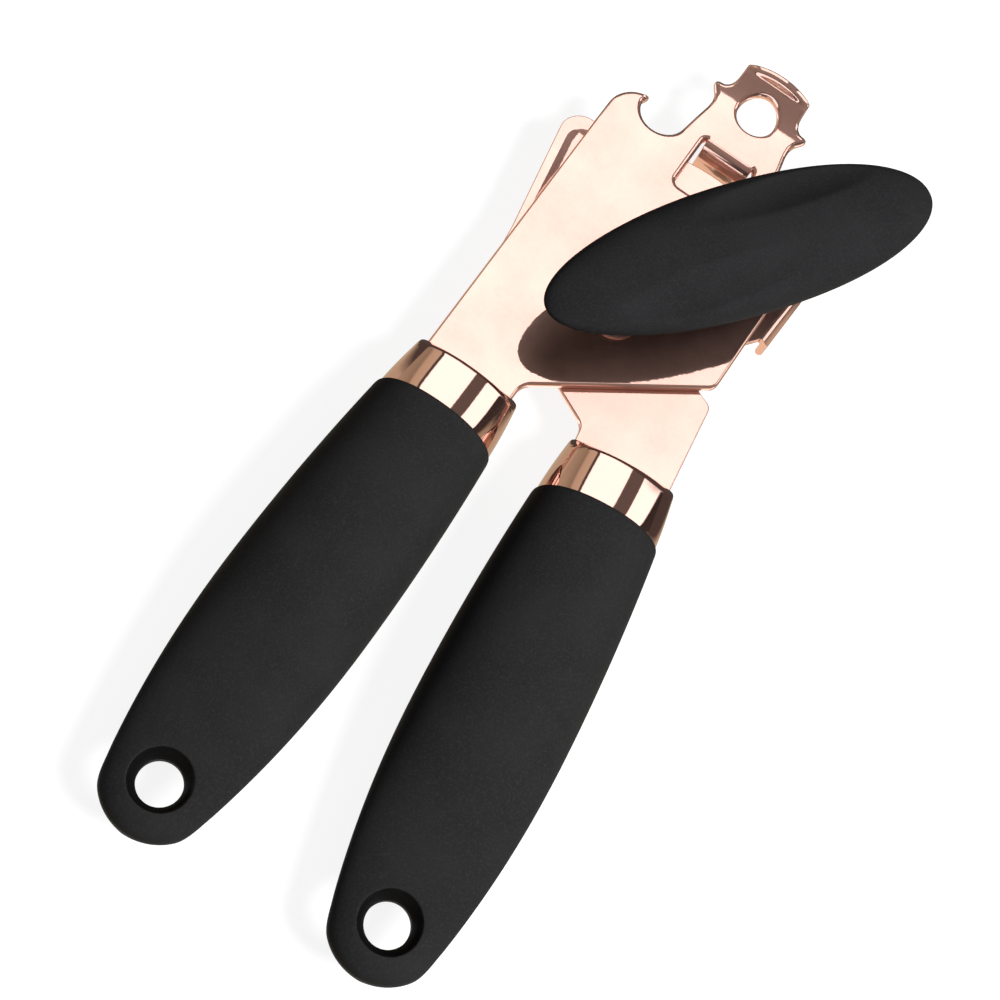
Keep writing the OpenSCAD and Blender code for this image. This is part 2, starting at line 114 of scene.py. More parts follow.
# ---------------------------------------------------------------- node helpers
class Nodes:
    """Short calls for building a node tree."""

    def __init__(self, tree):
        self.tree = tree

    def add(self, kind, **settings):
        n = self.tree.nodes.new("ShaderNode" + kind)
        for k, v in settings.items():
            if k in n.inputs:
                n.inputs[k].default_value = v
            else:
                setattr(n, k, v)
        return n

    def link(self, a, b):
        self.tree.links.new(a, b)

    def total(self, a, b):
        n = self.add("Math", operation="ADD")
        self.link(a, n.inputs[0])
        self.link(b, n.inputs[1])
        return n.outputs[0]

    def halved(self, value):
        """A value from -1 to 1 moved to 0 to 1, for a colour ramp."""
        n = self.add("Math", operation="MULTIPLY_ADD")
        self.link(value, n.inputs[0])
        n.inputs[1].default_value = 0.5
        n.inputs[2].default_value = 0.5
        return n.outputs[0]

    def span(self, value, lo, hi, out_lo=0.0, out_hi=1.0):
        """Smooth step from out_lo to out_hi while the value goes from lo to hi."""
        n = self.add("MapRange", interpolation_type="SMOOTHSTEP")
        self.link(value, n.inputs["Value"])
        for k, v in (("From Min", lo), ("From Max", hi), ("To Min", out_lo), ("To Max", out_hi)):
            n.inputs[k].default_value = v
        return n.outputs["Result"]

    def mix(self, fac, a, b):
        n = self.add("Mix", data_type="RGBA")
        self.link(fac, n.inputs[0])
        for i, v in ((6, a), (7, b)):
            if isinstance(v, tuple):
                n.inputs[i].default_value = (*v[:3], 1)
            else:
                self.link(v, n.inputs[i])
        return n.outputs[2]

    def ramp(self, value, stops):
        """Colour by a value from -1 to 1; stops are (value, colour)."""
        stops = [((v + 1) / 2, c) for v, c in stops]
        n = self.add("ValToRGB")
        el = n.color_ramp.elements
        while len(el) > 1:
            el.remove(el[-1])
        el[0].position = stops[0][0]
        el[0].color = (*stops[0][1], 1)
        for pos, col in stops[1:]:
            e = el.new(pos)
            e.color = (*col, 1)
        self.link(self.halved(value), n.inputs[0])
        return n.outputs[0]


def new_material(name):
    m = bpy.data.materials.new(name)
    m.use_nodes = True
    t = m.node_tree
    t.nodes.clear()
    n = Nodes(t)
    out = n.add("OutputMaterial")
    bsdf = n.add("BsdfPrincipled")
    n.link(bsdf.outputs[0], out.inputs["Surface"])
    coord = n.add("TexCoord").outputs["Object"]
    return m, n, bsdf, coord


def noise(n, coord, scale, detail=2.0, rough=0.5, stretch=None):
    if stretch:
        mp = n.add("Mapping")
        mp.inputs["Scale"].default_value = stretch
        n.link(coord, mp.inputs["Vector"])
        coord = mp.outputs[0]
    t = n.add("TexNoise", Scale=scale, Detail=detail, Roughness=rough)
    n.link(coord, t.inputs["Vector"])
    return t.outputs["Fac"]


def bump(n, bsdf, *layers):
    """layers are (height, strength, distance in metres), the first one deepest."""
    last = None
    for height, strength, distance in layers:
        b = n.add("Bump", Strength=strength, Distance=distance)
        n.link(height, b.inputs["Height"])
        if last:
            n.link(last, b.inputs["Normal"])
        last = b.outputs[0]
    n.link(last, bsdf.inputs["Normal"])


def polished_metal(name, color, rough, wave, haze):
    """Mirror plating with faint waves and ripples, wipe marks and a thin cloudy haze.

    wave: height of the waves, in metres. haze: share of the dull veil over the mirror.
    """
    m, n, bsdf, co = new_material(name)
    cloud = noise(n, co, 55, 4, 0.6)
    fine = noise(n, co, 900, 3, 0.6, (1.0, 0.12, 1.0))
    peel = noise(n, co, 900, 2, 0.5)
    tone = n.mix(n.span(cloud, 0.35, 0.65), color, tuple(c * 0.975 for c in color))
    veil = n.add("BsdfPrincipled")
    for shader in (bsdf, veil):
        shader.inputs["Metallic"].default_value = 1.0
        n.link(tone, shader.inputs["Base Color"])
        slow = noise(n, co, 110, 1, 0.4)
        bump(n, shader, (slow, 0.25, wave), (peel, 0.30, wave), (fine, 0.03, 0.00002))
    patches = n.span(cloud, 0.3, 0.7, rough * 0.7, rough * 1.5)
    hairlines = n.span(fine, 0.55, 0.8, 0.0, 0.03)
    n.link(n.total(patches, hairlines), bsdf.inputs["Roughness"])
    n.link(n.span(peel, 0.3, 0.7, 0.52, 0.62), veil.inputs["Roughness"])
    both = n.add("MixShader")
    n.link(n.span(cloud, 0.3, 0.7, haze * 0.8, haze * 1.2), both.inputs[0])
    n.link(bsdf.outputs[0], both.inputs[1])
    n.link(veil.outputs[0], both.inputs[2])
    out = next(q for q in m.node_tree.nodes if q.type == "OUTPUT_MATERIAL")
    n.link(both.outputs[0], out.inputs["Surface"])
    return m


def soft_rubber(name, shade, grain):
    """Dull soft-touch skin: fine moulded grain, pale specks and faint cloudy wear."""
    m, n, bsdf, co = new_material(name)
    cloud = noise(n, co, 70, 4, 0.6)
    speck = noise(n, co, grain * 0.7, 2, 0.7)
    base = n.mix(n.span(cloud, 0.3, 0.7), tuple(s * 0.9 for s in shade), tuple(s * 1.12 for s in shade))
    specked = n.mix(n.span(speck, 0.45, 0.72), base, tuple(s * 1.45 for s in shade))
    n.link(specked, bsdf.inputs["Base Color"])
    n.link(n.span(cloud, 0.3, 0.7, 0.52, 0.62), bsdf.inputs["Roughness"])
    bsdf.inputs["Specular IOR Level"].default_value = 0.04
    coarse = noise(n, co, grain * 0.25, 2, 0.6)
    bump(n, bsdf, (coarse, 0.18, 0.00006), (noise(n, co, grain, 2, 0.7), 0.35, 0.00005))
    return m


def satin_steel(name, color, rough, stretch=(1.0, 1.0, 0.06)):
    """Turned or ground steel: fine tool lines, dulled in patches."""
    m, n, bsdf, co = new_material(name)
    bsdf.inputs["Metallic"].default_value = 1.0
    lines = noise(n, co, 2600, 3, 0.7, stretch)
    patch = noise(n, co, 160, 3, 0.6)
    tone = n.mix(n.span(patch, 0.35, 0.7), color, tuple(c * 0.86 for c in color))
    n.link(tone, bsdf.inputs["Base Color"])
    patches = n.span(patch, 0.3, 0.7, rough * 0.8, rough * 1.3)
    n.link(n.total(patches, n.span(lines, 0.3, 0.8, 0.0, 0.12)), bsdf.inputs["Roughness"])
    bump(n, bsdf, (lines, 0.25, 0.00004))
    return m


def moulded_plastic(name, shade):
    """Hard moulded core: cloudy shade and a fine surface grain."""
    m, n, bsdf, co = new_material(name)
    cloud = noise(n, co, 90, 3, 0.6)
    n.link(n.mix(n.span(cloud, 0.3, 0.7), shade, tuple(s * 1.3 for s in shade)), bsdf.inputs["Base Color"])
    n.link(n.span(cloud, 0.3, 0.7, 0.38, 0.5), bsdf.inputs["Roughness"])
    bump(n, bsdf, (noise(n, co, 1500, 2, 0.6), 0.2, 0.00004))
    return m


ROSE = (0.96, 0.62, 0.53)
# the collars get the sheet's rose darkened: painted shade on the collars
SHADED_ROSE = tuple(0.86 * c for c in ROSE)
GRAIN = 3200  # of the soft-touch skins, per metre
plate_mat = polished_metal("rose_mirror_sheet", ROSE, 0.035, 0.00003, 0.34)
ferrule_mat = polished_metal("rose_mirror_collar", SHADED_ROSE, 0.03, 0.00001, 0.03)
steel_mat = satin_steel("ground_steel", (0.66, 0.64, 0.62), 0.22)
blade_mat = satin_steel("hardened_steel", (0.72, 0.71, 0.70), 0.14, (1.0, 1.0, 1.0))
bearing_mat = satin_steel("bearing_steel", (0.70, 0.58, 0.46), 0.24)
grip_mat = soft_rubber("soft_touch_black", (0.0096, 0.0096, 0.0099), GRAIN)
knob_mat = soft_rubber("soft_touch_black_knob", (0.0096, 0.0096, 0.0101), GRAIN)
core_mat = moulded_plastic("moulded_black", (0.012, 0.012, 0.013))
# a darker copy of the grip black, used round the hang holes as painted shade
painted_shade_rim_mat = soft_rubber("soft_touch_black_painted_shade", (0.0022, 0.0022, 0.0024), GRAIN)


# ---------------------------------------------------------------- mesh helpers
def piece(name, verts, faces, mat, body, slot, matrix, sharp=None):
    """A smooth-shaded object in the frame that rides on a body.

    sharp: edges bent by more than this many degrees stay crisp.
    """
    me = bpy.data.meshes.new(name)
    me.from_pydata([tuple(v) for v in verts], [], [tuple(f) for f in faces])
    me.transform(matrix)
    bm = bmesh.new()
    bm.from_mesh(me)
    bmesh.ops.recalc_face_normals(bm, faces=bm.faces)
    bm.to_mesh(me)
    bm.free()
    me.polygons.foreach_set("use_smooth", [True] * len(me.polygons))
    if sharp:
        me.set_sharp_from_angle(angle=math.radians(sharp))
    me.materials.append(mat)
    ob = bpy.data.objects.new(name, me)
    bpy.context.scene.collection.objects.link(ob)
    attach(ob, body)
    return ob


def section(w, h, p, n):
    """Superellipse ring, n points, as x and z."""
    a = 2 * math.pi * np.arange(n) / n
    c, s = np.cos(a), np.sin(a)
    return w * np.sign(c) * np.abs(c) ** p, h * np.sign(s) * np.abs(s) ** p


def skin(rings):
    """Vertices and faces of a closed skin over rings of equal length, capped at both ends."""
    n = len(rings[0])
    verts = np.concatenate(rings)
    faces = []
    for j in range(len(rings) - 1):
        for i in range(n):
            k = (i + 1) % n
            faces.append((j * n + i, j * n + k, (j + 1) * n + k, (j + 1) * n + i))
    last = (len(rings) - 1) * n
    faces.append(tuple(range(n)))
    faces.append(tuple(last + i for i in reversed(range(n))))
    return verts, faces


# ---------------------------------------------------------------- grips
def grip_w(s):
    """Half width of the grip at a distance s from the junction."""
    if s < BULGE:
        w = GRIP_HALF_W - 1.9 * ((BULGE - s) / BULGE) ** 2
    else:
        w = GRIP_HALF_W - 4.1 * ((s - BULGE) / BULGE) ** 2.2
    if s < GRIP_END:
        return w
    # the flanks run into the round end through a soft corner
    cap = math.sqrt(max(0.0, GRIP_END_R**2 - (s - GRIP_END) ** 2))
    reach = 0.9
    soft = max(0.0, 1 - abs(w - cap) / reach)
    return min(w, cap) - reach * 0.25 * soft * soft * min(1.0, (s - GRIP_END) / 2)


def grip_h(s):
    """Half thickness: thickest at s = 34, thinned toward the tip and rounded off over its end."""
    thickest, thinning, tip = 34, 53, 5.4
    if s < thickest:
        h = GRIP_HALF_H - 0.8 * ((thickest - s) / thickest) ** 2
    else:
        along = min(1.0, (s - thickest) / thinning)
        h = GRIP_HALF_H - 3.95 * (1 - math.cos(math.pi * along))
    v = max(0.0, (s - GRIP_LEN + tip) / tip)
    return h * (0.2 + 0.8 * math.sqrt(max(0.0, 1 - v * v)))


def grip_top(x, s):
    """Height of the skin above the middle plane."""
    e = 2 / GRIP_POWER
    return grip_h(s) * max(0.0, 1 - min(1.0, abs(x) / grip_w(s)) ** e) ** (1 / e)


N_GRIP = 128  # points round the grip
HALF = 16  # the hang hole is worked into a square patch of this many cells each way
INNER = 7  # the cells inside this loop are taken out
BLEND = 12  # the loops outside this one blend from round to square
PATCH = 8.0  # half the length of the patch
# radius and drop of each square loop once it is drawn round, from the innermost
LOOPS = [(5.8, 0.85), (5.95, 0.55), (6.05, 0.34), (6.14, 0.16), (6.27, 0.04), (6.45, 0), (6.75, 0)]
LOOPS += [(7.2, 0), (7.7, 0)]
LOOPS = dict(zip(range(INNER, HALF), LOOPS))
# heights of the rings down the wall of the hang hole
WALL = (2.7, 1.8, SINK + 0.05, SINK - 0.15, 0.0, 0.15 - SINK, -SINK - 0.05, -1.8, -2.7)


def grip_stations():
    """Distances along the grip with how far the skin is moved out there, and the patch's first row."""
    rows = [(0.03, -0.75), (0.0, -0.42), (0.12, -0.22), (0.35, -0.07), (0.8, 0.0), (1.6, 0.0)]
    rows += [(s, 0.0) for s in np.linspace(3.0, HANG_S - PATCH - 1.2, 54)]
    first = len(rows)
    rows += [(HANG_S - PATCH + 2 * PATCH * k / (2 * HALF), 0.0) for k in range(2 * HALF + 1)]
    ends = (50.5, 55, 60, 65, 70, 74, 78, 81.5, 84.5, 87, 88.8)
    rows += [(GRIP_END + GRIP_END_R * math.sin(math.radians(a)), 0.0) for a in ends]
    return rows, first


def bearing(ex, di, k):
    """Direction of a cell on its square loop k, as an angle round the hole."""
    if abs(ex) >= abs(di):
        return math.atan2(0, ex) + math.copysign(1, ex) * math.radians(45) * di / k
    return math.copysign(math.pi / 2, di) - math.copysign(1, di) * math.radians(45) * ex / k


def grip_mesh():
    n = N_GRIP
    stations, first = grip_stations()
    grid = []
    for s, off in stations:
        x, z = section(grip_w(s) + off, grip_h(s) + off, GRIP_POWER, n)
        grid.append(np.stack([x, np.full(n, -s), z], 1))
    verts, faces = skin(grid)
    verts = [list(v) for v in verts]
    gone = set()
    mid = first + HALF
    loops = {1: {}, -1: {}}
    for side in (1, -1):
        centre = n // 4 if side == 1 else 3 * n // 4
        for di in range(-HALF + 1, HALF):
            for dj in range(-HALF + 1, HALF):
                k = max(abs(di), abs(dj))
                idx = (mid + di) * n + (centre + dj) % n
                if k < INNER:
                    gone.add(idx)
                    continue
                ang = bearing(-dj * side, di, k)
                r, drop = LOOPS[k]
                cx, cs = r * math.cos(ang), HANG_S + r * math.sin(ang)
                if k > BLEND:
                    square_x, square_s = verts[idx][0], -verts[idx][1]
                    f = ((k - BLEND) / (HALF - BLEND)) ** 1.3
                    cx, cs = cx * (1 - f) + square_x * f, cs * (1 - f) + square_s * f
                z = grip_top(cx, cs) - drop
                verts[idx] = [cx, -cs, side * z]
                if k == INNER:
                    loops[side][round(math.degrees(ang) * 100) % 36000] = idx
    faces = [f for f in faces if not any(i in gone for i in f)]
    # the wall of the hole joins the innermost loops of both sides
    keys = sorted(loops[1])
    walls = [[loops[1][a] for a in keys]]
    for z in WALL:
        r = HANG_R + 0.5 * max(0.0, abs(z) - SINK)
        row = []
        for a in keys:
            t = math.radians(a / 100)
            row.append(len(verts))
            verts.append([r * math.cos(t), -HANG_S - r * math.sin(t), z])
        walls.append(row)
    walls.append([loops[-1][a] for a in sorted(loops[-1])])
    m = len(keys)
    for a, b in zip(walls, walls[1:]):
        for i in range(m):
            k = (i + 1) % m
            faces.append((a[i], a[k], b[k], b[i]))
    used = sorted({i for f in faces for i in f})
    new = {o: i for i, o in enumerate(used)}
    return [verts[i] for i in used], [tuple(new[i] for i in f) for f in faces]


PAINTED_SHADE_R = 6.1  # the darker rim of the hang hole: its darker colour is painted shade in the recess

for side, matrix, body in SIDES:
    g = piece(side + "_grip_skin", *grip_mesh(), grip_mat, body, "soft_grip", matrix)
    g.data.materials.append(painted_shade_rim_mat)
    # faces near each hang hole take the darker black: painted shade in the hole's rim and wall
    hole = matrix @ Vector((0, -HANG_S, 0))
    for f in g.data.polygons:
        if math.hypot(f.center.x - hole.x, f.center.y - hole.y) < PAINTED_SHADE_R * MM:
            f.material_index = 1
    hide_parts(side + "_grip")


# ---------------------------------------------------------------- ferrules
def ferrule_mesh():
    n = 160
    # distance toward the plates, and how far the skin is moved in there
    rows = [(13.8, 3.2), (13.8, 1.6), (13.8, 0.9), (13.7, 0.55), (13.5, 0.28), (13.2, 0.1)]
    rows += [(v, 0.0) for v in (12.8, 12.2, 11.6, 11.1, 10.95, 10.8, 10.65, 10.5, 10.3)]
    rows += [(v, 0.0) for v in np.linspace(10.0, -1.0, 23)]
    rings = []
    for v, off in rows:
        q = max(0.0, v)
        w = 13.35 - 1.5 * (q / FERRULE_LEN) ** 1.5
        h = 10.95 - 1.0 * (min(q, NOSE) / NOSE) ** 1.3
        if v > NOSE:
            h -= min(7.6, 2.35 * (v - NOSE))
        # the shoulder where the nose starts is softly rounded
        d = abs(v - NOSE)
        if d < 0.45:
            h -= 0.22 * (1 - d / 0.45) ** 2
        p = 0.92 - 0.42 * max(0.0, v - NOSE) / (FERRULE_LEN - NOSE)
        x, z = section(w - off, h - min(off, 0.25 + off * 0.25), p, n)
        rings.append(np.stack([x, np.full(n, v), z], 1))
    return skin(rings)


for side, matrix, body in SIDES:
    f = piece(side + "_collar", *ferrule_mesh(), ferrule_mat, body, "rose_ferrule", matrix, sharp=50)
    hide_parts(side + "_ferrule")


# ---------------------------------------------------------------- knob
def scooped(x, y, z):
    """The ring with its two lens-shaped thumb scoops, one on the leading flank of each wing.

    They are shallow slanting cylinder cuts with a narrow soft rim.
    """
    ax, ay, az = SCOOP_AXIS
    for turn in (1, -1):
        dx, dy = turn * x - SCOOP_AT[0], turn * y - SCOOP_AT[1]
        q = dx * ax + dy * ay
        root = q * q * az * az - (1 - az * az) * (dx * dx + dy * dy - q * q - SCOOP_R**2)
        cut = SCOOP_AT[2] + (q * az - np.sqrt(np.maximum(root, 0))) / (1 - az * az)
        cut = np.where(root > 0, cut, 99.0)
        rim = 0.2
        soft = np.clip(0.5 + 0.5 * (cut - z) / rim, 0, 1)
        low = cut * (1 - soft) + z * soft - rim * soft * (1 - soft)
        z = np.where(z > 0, np.minimum(z, low), z)
    return x, y, z


def knob_mesh():
    n = 160
    ends = [0.0009, 0.003, 0.0065, 0.012, 0.02, 0.03]
    us = 1 - np.concatenate([ends, np.geomspace(0.042, 1.0, 56)])
    us = np.concatenate([-us, us[-2::-1]])
    rings = []
    for u in us[::-1]:
        # one wing is blunter than the other
        w = KNOB_HALF_W * max(0.0, 1 - abs(u) ** (2.3 if u > 0 else 1.9)) ** 0.5
        h = KNOB_HALF_H * (0.52 + 0.48 * math.cos(math.radians(90 * min(1, abs(u)))))
        h = h * max(0.0, 1 - abs(u) ** 6) ** 0.5
        x, z = section(w, h, 0.86, n)
        rings.append(np.stack(scooped(x, np.full(n, KNOB_HALF_L * u), z), 1))
    return skin(rings)


k = piece("knob_skin", *knob_mesh(), knob_mat, "drive", "soft_grip", KNOB)
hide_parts("knob_grip")


# ---------------------------------------------------------------- sheet metal
def arc(cx, cy, r, a0, a1, n):
    turns = [math.radians(a0 + (a1 - a0) * i / n) for i in range(n + 1)]
    return [(cx + r * math.cos(t), cy + r * math.sin(t)) for t in turns]


def circle(cx, cy, r, n=56):
    return np.array(arc(cx, cy, r, 0, 360 * (n - 1) / n, n - 1))


def soften(points, step, rounds=2):
    """Evenly subdivide a closed outline, then cut its corners round."""
    p = np.array(points, float)
    out = []
    for a, b in zip(p, np.roll(p, -1, 0)):
        n = max(1, math.ceil(np.linalg.norm(b - a) / step))
        out += [a + (b - a) * k / n for k in range(n)]
    p = np.array(out)
    for _ in range(rounds):
        q = np.roll(p, -1, 0)
        p = np.stack([0.75 * p + 0.25 * q, 0.25 * p + 0.75 * q], 1).reshape(-1, 2)
    return p


def wound(p, anticlockwise):
    """The outline, running the way that is asked for."""
    area = np.sum(p[:, 0] * np.roll(p[:, 1], -1) - np.roll(p[:, 0], -1) * p[:, 1])
    return p if (area > 0) == anticlockwise else p[::-1]


def moved_in(p, d):
    """A closed outline moved toward its material by d, which may differ from point to point."""
    a = p - np.roll(p, 1, 0)
    b = np.roll(p, -1, 0) - p
    na = np.stack([-a[:, 1], a[:, 0]], 1) / np.maximum(1e-9, np.linalg.norm(a, axis=1))[:, None]
    nb = np.stack([-b[:, 1], b[:, 0]], 1) / np.maximum(1e-9, np.linalg.norm(b, axis=1))[:, None]
    m = na + nb
    m /= np.maximum(1e-9, np.linalg.norm(m, axis=1))[:, None]
    return p + m * (d / np.maximum(0.6, np.sum(m * na, 1)))[:, None]


def inside(pts, loop):
    """Which of the points lie inside a closed outline."""
    x, y = pts[:, 0], pts[:, 1]
    hit = np.zeros(len(pts), bool)
    for (x0, y0), (x1, y1) in zip(loop, np.roll(loop, -1, 0)):
        cross = (y0 > y) != (y1 > y)
        if y0 != y1:
            hit ^= cross & (x < (x1 - x0) * (y - y0) / (y1 - y0) + x0)
    return hit


BACK_RIM = 0.3  # rounding of the edges on the far side, at most
LEDGE = 0.07  # the flat face starts this far inside the rounding
CLEAR = 0.28  # no point inside a face comes closer to its rim than this


def filled(rims, extra):
    """Triangles between a face's outer rim and its holes, with points wanted inside it.

    Gives the new points, the triangles as indices into rim points and new points in that
    order, and the number of rim points.
    """
    pts = np.concatenate(rims)
    edges, at = [], 0
    for r in rims:
        edges += [(at + i, at + (i + 1) % len(r)) for i in range(len(r))]
        at += len(r)
    grid = np.zeros((0, 2))
    if extra is not None:
        ok = inside(extra, rims[0])
        for r in rims[1:]:
            ok &= ~inside(extra, r)
        grid = extra[ok]
        near = np.array([np.min(np.sum((pts - g) ** 2, 1)) for g in grid])
        grid = grid[near > CLEAR**2]
    every = np.concatenate([pts, grid])
    corners, _, triangles, origin, _, _ = delaunay_2d_cdt([Vector(v) for v in every], edges, [], 0, 1e-6)
    corners = np.array([tuple(v) for v in corners])
    index, added = [], []
    for i, o in enumerate(origin):
        if o and o[0] < len(pts):
            index.append(o[0])
        else:
            index.append(len(pts) + len(added))
            added.append(corners[i])
    mid = np.array([corners[list(f)].mean(0) for f in triangles])
    keep = inside(mid, rims[0])
    for r in rims[1:]:
        keep &= ~inside(mid, r)
    return added, [tuple(index[i] for i in f) for f, ok in zip(triangles, keep) if ok], len(pts)


def sheet(outer, holes, thick, shape, rim, extra=None, dip=None):
    """Closed skin of a sheet with rounded edges.

    holes: outlines, or (outline, rim width, rim depth). rim may be a function of the points.
    shape: turns x, y and depth below the face into a place. extra: points wanted inside the face.
    dip: how far the face is pressed down at each point.
    """
    loops = [(wound(outer, True), rim, rim)]
    for h in holes:
        h, w, d = h if isinstance(h, tuple) else (h, rim, rim)
        loops.append((wound(h, False), w, d))
    value = lambda v, p: v(p) if callable(v) else np.full(len(p), float(v))
    steps = [math.radians(a) for a in (0, 18, 36, 54, 72, 90)]
    layers = [("top", None)] + [("top", a) for a in steps]
    layers += [("low", a) for a in reversed(steps)] + [("low", None)]
    verts, faces, flat = [], [], []
    for where, a in layers:
        for p, w, d in loops:
            w, d = value(w, p), value(d, p)
            if where == "low":
                w = d = np.minimum(value(rim, p), BACK_RIM)
            if a is None:
                q, z = moved_in(p, w + LEDGE), np.zeros(len(p))
                flat.append(q)
            else:
                q, z = moved_in(p, w * (1 - math.sin(a))), d * (1 - math.cos(a))
            z = thick - z if where == "low" else z + (dip(q) if dip and a is None else 0)
            verts.append(shape(q[:, 0], q[:, 1], z))
    count = sum(len(p) for p, _, _ in loops)
    for j in range(len(layers) - 1):
        at = j * count
        for p, _, _ in loops:
            n = len(p)
            for i in range(n):
                k = (i + 1) % n
                faces.append((at + i, at + k, at + count + k, at + count + i))
            at += n
    m = len(loops)
    for where, rims, base in (("top", flat[:m], 0), ("low", flat[m:], (len(layers) - 1) * count)):
        added, triangles, on_rim = filled(rims, extra)
        start = sum(len(v) for v in verts) - on_rim
        if added:
            q = np.array(added)
            if where == "low":
                z = np.full(len(q), thick)
            else:
                z = dip(q) if dip else np.zeros(len(q))
            verts.append(shape(q[:, 0], q[:, 1], z))
        faces += [tuple(i + (base if i < on_rim else start) for i in f) for f in triangles]
    return np.concatenate(verts), faces


def joined(parts):
    """Several closed skins as one set of vertices and faces."""
    verts, faces, at = [], [], 0
    for v, f in parts:
        verts.append(v)
        faces += [tuple(i + at for i in q) for q in f]
        at += len(v)
    return np.concatenate(verts), faces


def lattice(x0, x1, y0, y1, step):
    """Points in staggered rows."""
    gx, gy = np.meshgrid(np.arange(x0, x1, step), np.arange(y0, y1, step))
    gx = gx + (np.arange(gx.shape[0]) % 2)[:, None] * step * 0.5
    return np.stack([gx.ravel(), gy.ravel()], 1)


# upper plate: flat, then curled up at the neck and folded into a lip
NECK, BEND_R, BEND_A = 58.5, 18.0, math.radians(28)
LIP_R, LIP_A = 0.8, math.radians(78)
CROWN_R, CROWN_TOP, CROWN_HALF = 16, 4.6, 8.2
# along the face: the curl ends, the fold to the lip starts, the fold ends
S1 = NECK + BEND_R * BEND_A
S2 = S1 + 1.0
S3 = S2 + LIP_R * (LIP_A - BEND_A)
Y1, Z1 = NECK + BEND_R * math.sin(BEND_A), BEND_R * (1 - math.cos(BEND_A))
Y2, Z2 = Y1 + math.cos(BEND_A), Z1 + math.sin(BEND_A)
CY, CZ = Y2 - LIP_R * math.sin(BEND_A), Z2 + LIP_R * math.cos(BEND_A)


def neck_at(s):
    """y, z and slope of the face at a distance s along it."""
    if s <= NECK:
        return s, 0.0, 0.0
    if s <= S1:
        a = (s - NECK) / BEND_R
        return NECK + BEND_R * math.sin(a), BEND_R * (1 - math.cos(a)), a
    if s <= S2:
        return Y1 + (s - S1) * math.cos(BEND_A), Z1 + (s - S1) * math.sin(BEND_A), BEND_A
    a = min(LIP_A, BEND_A + (s - S2) / LIP_R)
    y, z = CY + LIP_R * math.sin(a), CZ - LIP_R * math.cos(a)
    if s <= S3:
        return y, z, a
    return y + (s - S3) * math.cos(a), z + (s - S3) * math.sin(a), a


def crown(x, d=0.0):
    """How far along the sheet the lip reaches at this x and depth: a round crown seen from the front."""
    z = CROWN_TOP - CROWN_R + math.sqrt(CROWN_R**2 - min(abs(x), CROWN_HALF) ** 2)
    lo, hi = NECK + 4, S3 + 2.2
    for _ in range(26):
        mid = (lo + hi) / 2
        _, top, slope = neck_at(mid)
        lo, hi = (mid, hi) if top - d * math.cos(slope) < z else (lo, mid)
    return lo


def upper_shape(x, s, d):
    """Place of a point at x, distance s along the face and depth d below it.

    Layers below the face reach further at the lip, so that the cut end looks straight ahead.
    """
    s = np.array(s, float)
    for i in np.nonzero((s > S1 - 1) & (np.abs(x) < 8.6))[0]:
        end = crown(x[i])
        s[i] += (crown(x[i], d[i]) - end) * min(1.0, max(0.0, (s[i] - (end - 2.4)) / 2.2))
    rows = np.array([neck_at(v) for v in s])
    y, z, slope = rows.T
    return np.stack([x, y + d * np.sin(slope), UP1 + z - d * np.cos(slope)], 1)


def unrolled(y):
    """Distance along the face of a point of the curled neck, from its y."""
    return y if y <= NECK else NECK + BEND_R * math.asin((y - NECK) / BEND_R)


ear = [(-11.65, 47.95), (-10.9, 52.7), (-10.15, 56.8), (-10.05, 58.7), (-10.5, 60.2), (-11.5, 61.4)]
ear += [(-12.0, 62.1), (-11.9, 62.8), (-11.2, 63.1), (-10.0, 63.2), (-9.0, 63.9), (-8.4, 65.0), (-8.2, 66.2)]
ear = [(x, unrolled(y)) for x, y in ear]
lip = [(x, crown(x)) for x in np.linspace(-8.1, 8.1, 33)]
TANG_END = JUNCTION - 62
DIAG = 36.4  # slant of the edge beside the left handle
upper_outline = [(-24.8, TANG_END), (-24.8, -36), (-28.15, -32.5)]
upper_outline += arc(-21.45, 43.2, 6.7, 180, 99, 14)
upper_outline += [(-21.95, 49.95), (-21.55, 49.55), (-21.85, 48.8)]
upper_outline += arc(-17, 48.7, 5.4, 190, 350, 24)
upper_outline += ear + lip + [(-x, y) for x, y in reversed(ear)]
upper_outline += arc(18.6, 51.5, 7.2, 205, 262, 6)
upper_outline += arc(17.2, 34.3, 8.5, 72, 0, 10)
upper_outline += arc(22.6, 0.745, 3, 0, DIAG - 90, 6)
upper_outline += arc(-3.45, -27.18, 4, 90 + DIAG, 180, 6)
upper_outline += [(-7.45, -32.5), (-10.8, -36), (-10.8, TANG_END)]
WIN_END = 49.1  # far side of the window
HOLE_Y, HOLE_R = 60.85, 4.5  # hole in the neck
# holes for the rivet and the cutter stud, for the rivet that turns, the shaft bearing and a pin
SEAT_R, SWIVEL_R, BEARING_R, PIN_R = 3.02, 3.05, 3.9, 2.02


def pin_holes(x, lean):
    """Holes for the two cross pins of a tang."""
    rows = (-14, -50)
    at = [(x - s * math.sin(lean), JUNCTION + s * math.cos(lean)) for s in rows]
    return [circle(*p, PIN_R, 24) for p in at]


def window_rim(p):
    """The far side of the window carries on into the tongue."""
    return np.where(p[:, 1] > WIN_END - 0.03, 0.02, 1.1)


def outer_rim(p):
    """The rounding is wider at the hook and the neck than along the handle."""
    return np.interp(p[:, 1], [38, 46], [0.62, 1.0])


def hole_rim(p):
    """The ring round the neck hole widens toward the lip."""
    return 1.05 + 0.09 * (p[:, 1] - HOLE_Y)


